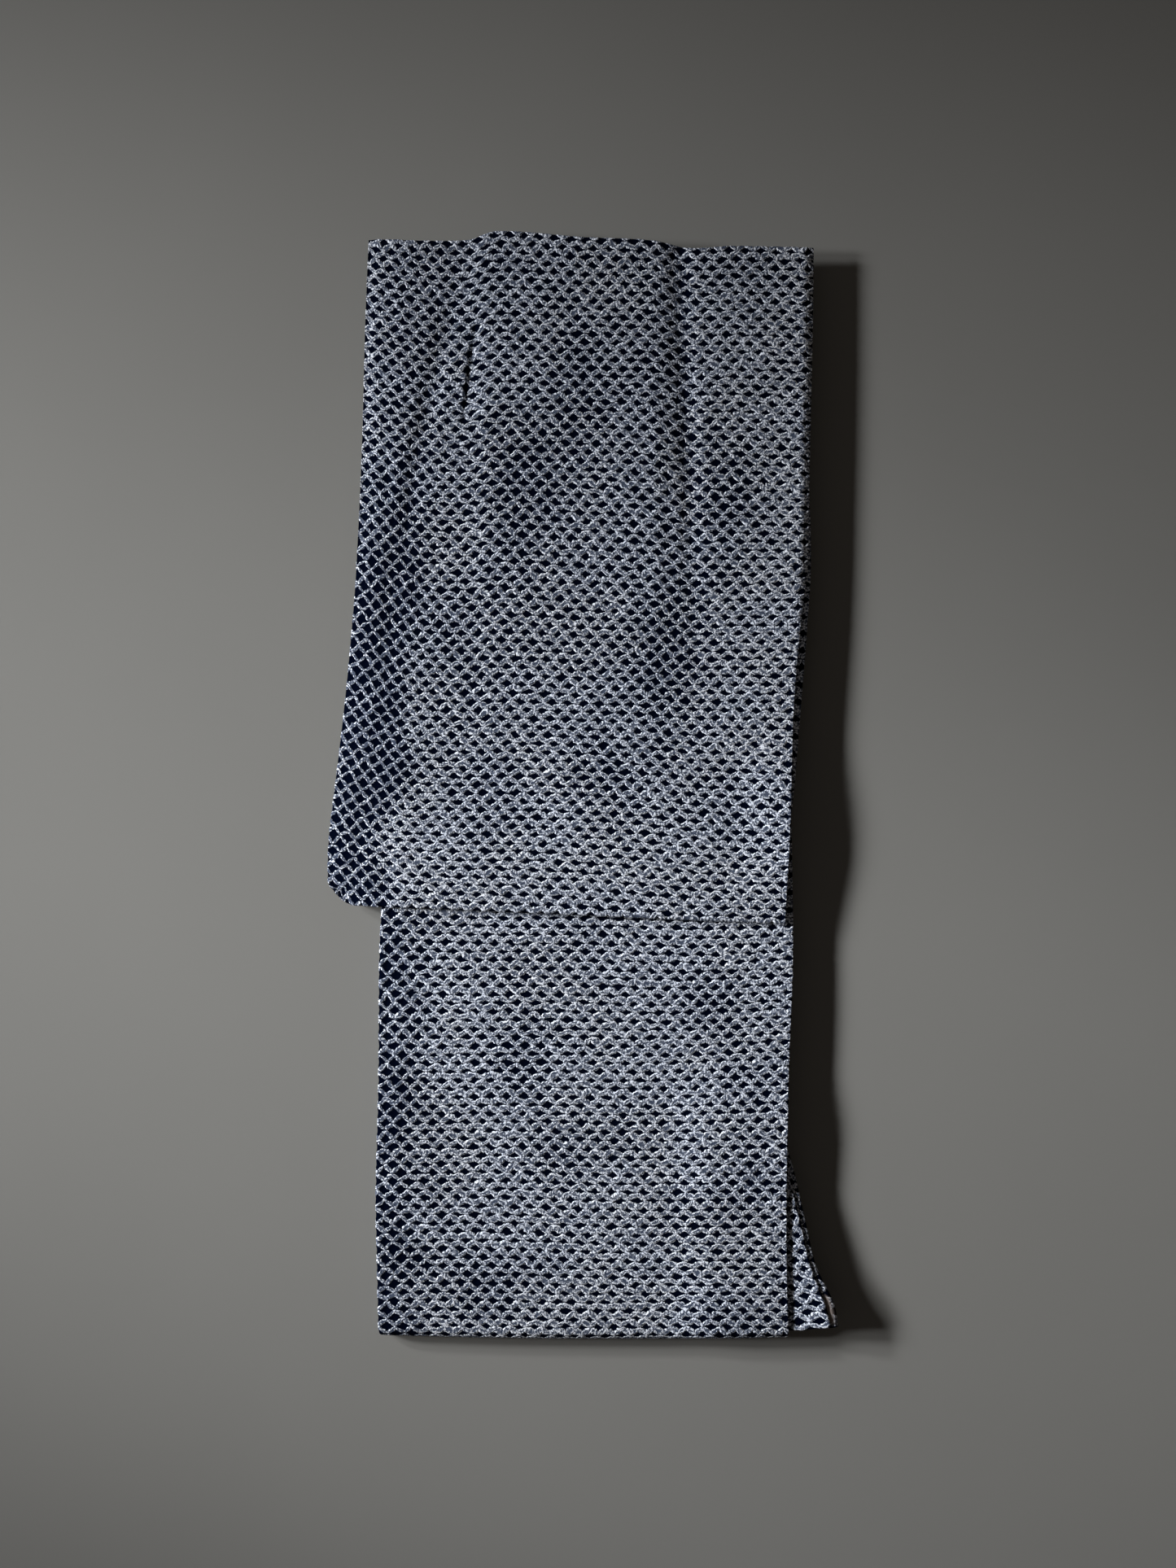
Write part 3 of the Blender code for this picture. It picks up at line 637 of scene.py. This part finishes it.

# Materials: dyed and plain parts of the ties, painted shade in their pits and crimps, and the
# weave under them
dyeAndPaintedShade = {
    "raggedScale": 2.2, "raggedDetail": 2.0,
    "knobSize": 0.8, "knobMore": 0.38,          # each knob has its own size
    "dyeFrom": 0.93, "dyeTo": 1.01,             # the dye starts at a knob's outline
    "pitFrom": 0.6, "pitTo": 0.2, "pitLeast": 0.45,     # the tip of each is a small pit, darkened with painted shade
    "crimpScale": 4.2, "crimpDetail": 2.0, "crimpRough": 0.6,   # fine crimps run round it, their low parts darkened with painted shade
    # where a crimp is low it is darkened with painted shade, up to this share, and opened ties
    # take more painted shade
    "crimpFrom": 0.54, "crimpTo": 0.45, "crimpPaintedShade": 0.96, "openedPaintedShade": 0.07,
    "rimFrom": 1.0, "rimTo": 0.55, "crimpHeight": 0.5, "pitHeight": 0.7,
    "threads": 17.0,                            # of the weave, in a cell
}


def newGroup(name, inputs, outputs):
    group = bpy.data.node_groups.new(name, "ShaderNodeTree")
    for kind, title, value in inputs:
        socket = group.interface.new_socket(title, in_out="INPUT", socket_type=kind)
        if value is not None:
            socket.default_value = value
    for kind, title in outputs:
        group.interface.new_socket(title, in_out="OUTPUT", socket_type=kind)
    return group


class Graph:    # short calls for making and joining nodes
    def __init__(self, tree):
        self.tree = tree

    def node(self, kind, **settings):
        made = self.tree.nodes.new(kind)
        for key, value in settings.items():
            setattr(made, key, value)
        return made

    def feed(self, socket, value):
        if isinstance(value, bpy.types.NodeSocket):
            self.tree.links.new(value, socket)
        else:
            socket.default_value = value

    def math(self, operation, *values, clamp=False):
        made = self.node("ShaderNodeMath", operation=operation, use_clamp=clamp)
        for socket, value in zip(made.inputs, values):
            self.feed(socket, value)
        return made.outputs[0]

    def range(self, value, low, high, toLow=0.0, toHigh=1.0, smooth=True):
        made = self.node("ShaderNodeMapRange", clamp=True,
                         interpolation_type="SMOOTHSTEP" if smooth else "LINEAR")
        for title, item in (("Value", value), ("From Min", low), ("From Max", high),
                            ("To Min", toLow), ("To Max", toHigh)):
            self.feed(made.inputs[title], item)
        return made.outputs["Result"]

    def noise(self, vector, scale, detail=2.0, rough=0.5):
        made = self.node("ShaderNodeTexNoise", noise_dimensions="2D")
        for title, item in (("Vector", vector), ("Scale", scale), ("Detail", detail),
                            ("Roughness", rough)):
            self.feed(made.inputs[title], item)
        return made.outputs["Fac"]

    def mix(self, factor, first, second):
        made = self.node("ShaderNodeMix", data_type="RGBA")
        self.feed(made.inputs[0], factor)
        self.feed(made.inputs[6], first)
        self.feed(made.inputs[7], second)
        return made.outputs[2]


def makeTiedGroup():
    # Leaning knobs on a lattice stay white, the gaps between four of them take the dye, and the
    # knobs' pits and fine crimps get painted shade
    group = newGroup("tied dye and painted shade", [
        ("NodeSocketVector", "Cells", None),
        ("NodeSocketFloat", "OpenedAndShaded", 0.0),
        ("NodeSocketFloat", "Ragged", 0.2),
    ], [("NodeSocketFloat", "Dye"), ("NodeSocketFloat", "PaintedShade"), ("NodeSocketFloat", "Height")])
    g = Graph(group)
    given = g.node("NodeGroupInput").outputs
    ragged = g.node("ShaderNodeTexNoise", noise_dimensions="2D")
    g.feed(ragged.inputs["Vector"], given["Cells"])
    ragged.inputs["Scale"].default_value = dyeAndPaintedShade["raggedScale"]
    ragged.inputs["Detail"].default_value = dyeAndPaintedShade["raggedDetail"]
    centred = g.node("ShaderNodeVectorMath", operation="SUBTRACT")
    g.feed(centred.inputs[0], ragged.outputs["Color"])
    centred.inputs[1].default_value = (0.5, 0.5, 0.5)
    scaled = g.node("ShaderNodeVectorMath", operation="SCALE")
    g.feed(scaled.inputs[0], centred.outputs[0])
    g.feed(scaled.inputs["Scale"], g.math("MULTIPLY", given["Ragged"], 2.0))
    moved = g.node("ShaderNodeVectorMath", operation="ADD")
    g.feed(moved.inputs[0], given["Cells"])
    g.feed(moved.inputs[1], scaled.outputs[0])
    split = g.node("ShaderNodeSeparateXYZ")
    g.feed(split.inputs[0], moved.outputs[0])
    a, b = split.outputs["X"], split.outputs["Y"]
    nodeA, nodeB = g.math("ROUND", a), g.math("ROUND", b)
    da, db = g.math("SUBTRACT", a, nodeA), g.math("SUBTRACT", b, nodeB)
    parity = g.math("FLOORED_MODULO", g.math("ADD", nodeA, nodeB), 2.0)
    lean = g.math("SUBTRACT", 1.0, g.math("MULTIPLY", parity, 2.0))
    tilted = g.math("MULTIPLY", lean, g.math("MULTIPLY", db, ties["narrow"] / math.sqrt(2.0)))
    wide = g.math("MULTIPLY_ADD", given["OpenedAndShaded"], ties["openWide"] / math.sqrt(2.0),
                  ties["wide"] / math.sqrt(2.0))
    level = g.math("MULTIPLY", da, wide)
    along, aside = g.math("SUBTRACT", level, tilted), g.math("ADD", level, tilted)
    spot = g.node("ShaderNodeCombineXYZ")
    g.feed(spot.inputs[0], nodeA)
    g.feed(spot.inputs[1], nodeB)
    chance = g.node("ShaderNodeTexWhiteNoise", noise_dimensions="2D")
    g.feed(chance.inputs["Vector"], spot.outputs[0])
    luck = chance.outputs["Value"]
    size = g.math("ADD", dyeAndPaintedShade["knobSize"], g.math("MULTIPLY", luck, dyeAndPaintedShade["knobMore"]))
    closing = g.math("MULTIPLY", given["OpenedAndShaded"], ties["openShort"])
    shortWay = g.math("SUBTRACT", ties["knobShort"], closing)
    along = g.math("DIVIDE", along, g.math("MULTIPLY", size, ties["knobLong"]))
    aside = g.math("DIVIDE", aside, g.math("MULTIPLY", size, shortWay))
    reach = g.math("SQRT", g.math("ADD", g.math("MULTIPLY", along, along),
                                  g.math("MULTIPLY", aside, aside)))
    dye = g.range(reach, dyeAndPaintedShade["dyeFrom"], dyeAndPaintedShade["dyeTo"])
    # Painted shade: the pit at each knob's tip and the low parts of its crimps are darkened, more
    # where the ties opened
    pit = g.range(reach, dyeAndPaintedShade["pitFrom"], dyeAndPaintedShade["pitTo"])
    crimp = g.noise(moved.outputs[0], dyeAndPaintedShade["crimpScale"], dyeAndPaintedShade["crimpDetail"],
                    dyeAndPaintedShade["crimpRough"])
    paintedPitShade = g.math("MULTIPLY", pit,
                    g.range(luck, 0.0, 1.0, dyeAndPaintedShade["pitLeast"], 1.0, smooth=False))
    mottled = g.math("SUBTRACT", crimp, g.math("MULTIPLY", given["OpenedAndShaded"], dyeAndPaintedShade["openedPaintedShade"]))
    paintedCrimpShade = g.range(mottled, dyeAndPaintedShade["crimpFrom"], dyeAndPaintedShade["crimpTo"], 0.0, dyeAndPaintedShade["crimpPaintedShade"])
    paintedShade = g.math("ADD", paintedPitShade, paintedCrimpShade, clamp=True)
    rim = g.range(reach, dyeAndPaintedShade["rimFrom"], dyeAndPaintedShade["rimTo"])
    height = g.math("SUBTRACT",
                    g.math("ADD", rim, g.math("MULTIPLY", crimp, dyeAndPaintedShade["crimpHeight"])),
                    g.math("MULTIPLY", pit, dyeAndPaintedShade["pitHeight"]))
    out = g.node("NodeGroupOutput")
    g.feed(out.inputs["Dye"], dye)
    g.feed(out.inputs["PaintedShade"], paintedShade)
    g.feed(out.inputs["Height"], height)
    return group


def makeYarnGroup():
    # Plain weave: warp and weft pass over each other
    group = newGroup("plain weave", [
        ("NodeSocketVector", "Cells", None),
        ("NodeSocketFloat", "Threads", dyeAndPaintedShade["threads"]),
    ], [("NodeSocketFloat", "Height")])
    g = Graph(group)
    given = g.node("NodeGroupInput").outputs
    split = g.node("ShaderNodeSeparateXYZ")
    g.feed(split.inputs[0], given["Cells"])
    turns = g.math("MULTIPLY", given["Threads"], math.pi)
    warp = g.math("SINE", g.math("MULTIPLY", split.outputs["X"], turns))
    weft = g.math("SINE", g.math("MULTIPLY", split.outputs["Y"], turns))
    height = g.math("ADD", 0.5, g.math("MULTIPLY", g.math("MULTIPLY", warp, weft), 0.5))
    out = g.node("NodeGroupOutput")
    g.feed(out.inputs["Height"], height)
    return group


tiedGroup, yarnGroup = makeTiedGroup(), makeYarnGroup()
cotton = {
    "white": (0.78, 0.84, 0.96, 1.0), "mottled": (0.795, 0.84, 0.925, 1.0),
    # the next colour is painted shade, for the knobs' pits and crimps
    "paintedShade": (0.054, 0.069, 0.108, 1.0),
    # the undyed edge: its own pinkish grey, darkened with painted shadow of the upper layer
    "dye": (0.0003, 0.0013, 0.0062, 1.0), "shadedBare": (0.20, 0.17, 0.155, 1.0),
    "ragged": 0.16, "bump": 0.6, "bumpDistance": 0.0007,
    "weaveBump": 0.15, "weaveDistance": 0.0001, "roughness": 0.9, "specular": 0.01,
    "patchScale": 0.1, "patchFrom": 0.4, "patchTo": 0.6,    # slow patches of worn white
}


def makeCotton(name, hasBare=False):
    material = bpy.data.materials.new(name)
    material.use_nodes = True
    g = Graph(material.node_tree)
    shader = material.node_tree.nodes["Principled BSDF"]
    shader.inputs["Roughness"].default_value = cotton["roughness"]
    shader.inputs["Specular IOR Level"].default_value = cotton["specular"]
    cells = g.node("ShaderNodeUVMap", uv_map="cells").outputs["UV"]
    openedAndShaded = g.node("ShaderNodeAttribute", attribute_name="openedAndShaded").outputs["Fac"]
    tied = g.node("ShaderNodeGroup", node_tree=tiedGroup)
    g.feed(tied.inputs["Cells"], cells)
    g.feed(tied.inputs["OpenedAndShaded"], openedAndShaded)
    tied.inputs["Ragged"].default_value = cotton["ragged"]
    yarn = g.node("ShaderNodeGroup", node_tree=yarnGroup)
    g.feed(yarn.inputs["Cells"], cells)
    patches = g.range(g.noise(cells, cotton["patchScale"]), cotton["patchFrom"],
                      cotton["patchTo"])
    color = g.mix(patches, cotton["white"], cotton["mottled"])
    # painted shade in the knobs' pits and crimps
    color = g.mix(tied.outputs["PaintedShade"], color, cotton["paintedShade"])
    color = g.mix(tied.outputs["Dye"], color, cotton["dye"])
    height = tied.outputs["Height"]
    if hasBare:
        # the undyed edge, its colour darkened with painted shadow
        shadedBare = g.node("ShaderNodeAttribute", attribute_name="shadedBare").outputs["Fac"]
        color = g.mix(shadedBare, color, cotton["shadedBare"])
        height = g.math("MULTIPLY", height, g.math("SUBTRACT", 1.0, shadedBare))
    g.feed(shader.inputs["Base Color"], color)
    weave = g.node("ShaderNodeBump")
    weave.inputs["Strength"].default_value = cotton["weaveBump"]
    weave.inputs["Distance"].default_value = cotton["weaveDistance"]
    g.feed(weave.inputs["Height"], yarn.outputs["Height"])
    bump = g.node("ShaderNodeBump")
    bump.inputs["Strength"].default_value = cotton["bump"]
    bump.inputs["Distance"].default_value = cotton["bumpDistance"]
    g.feed(bump.inputs["Height"], height)
    g.feed(bump.inputs["Normal"], weave.outputs["Normal"])
    g.feed(shader.inputs["Normal"], bump.outputs["Normal"])
    return material


print("materials")
for piece, node, slotName, hasBare in ((bodyCloth, "body", "body_cotton", False),
                                       (sleeveCloth, "sleeve", "sleeve_cotton", False),
                                       (overlapCloth, "overlap", "overlap_cotton", True)):
    piece.data.materials.append(makeCotton(node + " cotton", hasBare))
    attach(piece, "root")
    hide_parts(node)

cycle = body["run"] + body["turn"]

# Floor, light and camera
studio = {
    "floor": (0.220, 0.220, 0.211, 1.0), "floorSize": 7.0,
    "roughness": 0.95, "specular": 0.1,
    "mottleScale": 4.0, "mottleDetail": 4.0, "mottleFrom": 0.2, "mottleTo": 0.8,
    "mottleDark": 0.96,
    "windowDistance": 4.11, "softness": 1.0,
    "sky": (0.057, 0.050, 0.044),
    "camera": (0.0045, 0.0020, 1.6), "lens": 49.95, "sensor": 36.0,
}


def makeFloor():
    made = bmesh.new()
    bmesh.ops.create_grid(made, x_segments=1, y_segments=1, size=0.5 * studio["floorSize"])
    mesh = bpy.data.meshes.new("floor")
    made.to_mesh(mesh)
    made.free()
    floor = bpy.data.objects.new("floor", mesh)
    bpy.context.collection.objects.link(floor)
    material = bpy.data.materials.new("paper backdrop")
    material.use_nodes = True
    g = Graph(material.node_tree)
    shader = material.node_tree.nodes["Principled BSDF"]
    shader.inputs["Roughness"].default_value = studio["roughness"]
    shader.inputs["Specular IOR Level"].default_value = studio["specular"]
    place = g.node("ShaderNodeTexCoord").outputs["Object"]
    mottle = g.noise(place, studio["mottleScale"], studio["mottleDetail"])
    shift = g.range(mottle, studio["mottleFrom"], studio["mottleTo"], smooth=False)
    dark = tuple(studio["mottleDark"] * value for value in studio["floor"][:3]) + (1.0,)
    g.feed(shader.inputs["Base Color"], g.mix(shift, dark, studio["floor"]))
    mesh.materials.append(material)


# Soft light from windows at the left, the last one for the lower half only
windows = (
    {"name": "low pane", "towards": (-2.01, 0.12, 1.0), "watts": 665.0, "radius": 0.386,
     "aim": (-0.60, 0.03, 0.0), "cone": 22.4},
    {"name": "high pane", "towards": (-2.01, 0.60, 1.0), "watts": 1110.0, "radius": 0.386,
     "aim": (-0.60, 0.03, 0.0), "cone": 22.4},
    {"name": "far window", "towards": (-2.20, 1.30, 1.0), "watts": 2800.0, "radius": 0.514,
     "aim": (0.781, -0.714, 0.0), "cone": 6.8},
)


def makeLights():
    for window in windows:
        light = bpy.data.lights.new(window["name"], "SPOT")
        light.energy = window["watts"]
        light.shadow_soft_size = window["radius"]
        light.spot_size = math.radians(window["cone"])
        light.spot_blend = studio["softness"]
        lamp = bpy.data.objects.new(window["name"], light)
        away = Vector(window["towards"]).normalized() * studio["windowDistance"]
        lamp.location = Vector(window["aim"]) + away
        lamp.rotation_euler = away.to_track_quat("Z", "Y").to_euler()
        bpy.context.collection.objects.link(lamp)
    world = bpy.data.worlds.new("studio")
    world.use_nodes = True
    world.node_tree.nodes["Background"].inputs["Color"].default_value = (*studio["sky"], 1.0)
    bpy.context.scene.world = world


def makeCamera():
    data = bpy.data.cameras.new("camera")
    data.sensor_fit = "VERTICAL"
    data.sensor_height = studio["sensor"]
    data.lens = studio["lens"]
    camera = bpy.data.objects.new("camera", data)
    camera.location = studio["camera"]
    bpy.context.collection.objects.link(camera)
    bpy.context.scene.camera = camera


print("studio")
makeFloor()
makeLights()
makeCamera()
bpy.context.scene.view_settings.view_transform = "Standard"
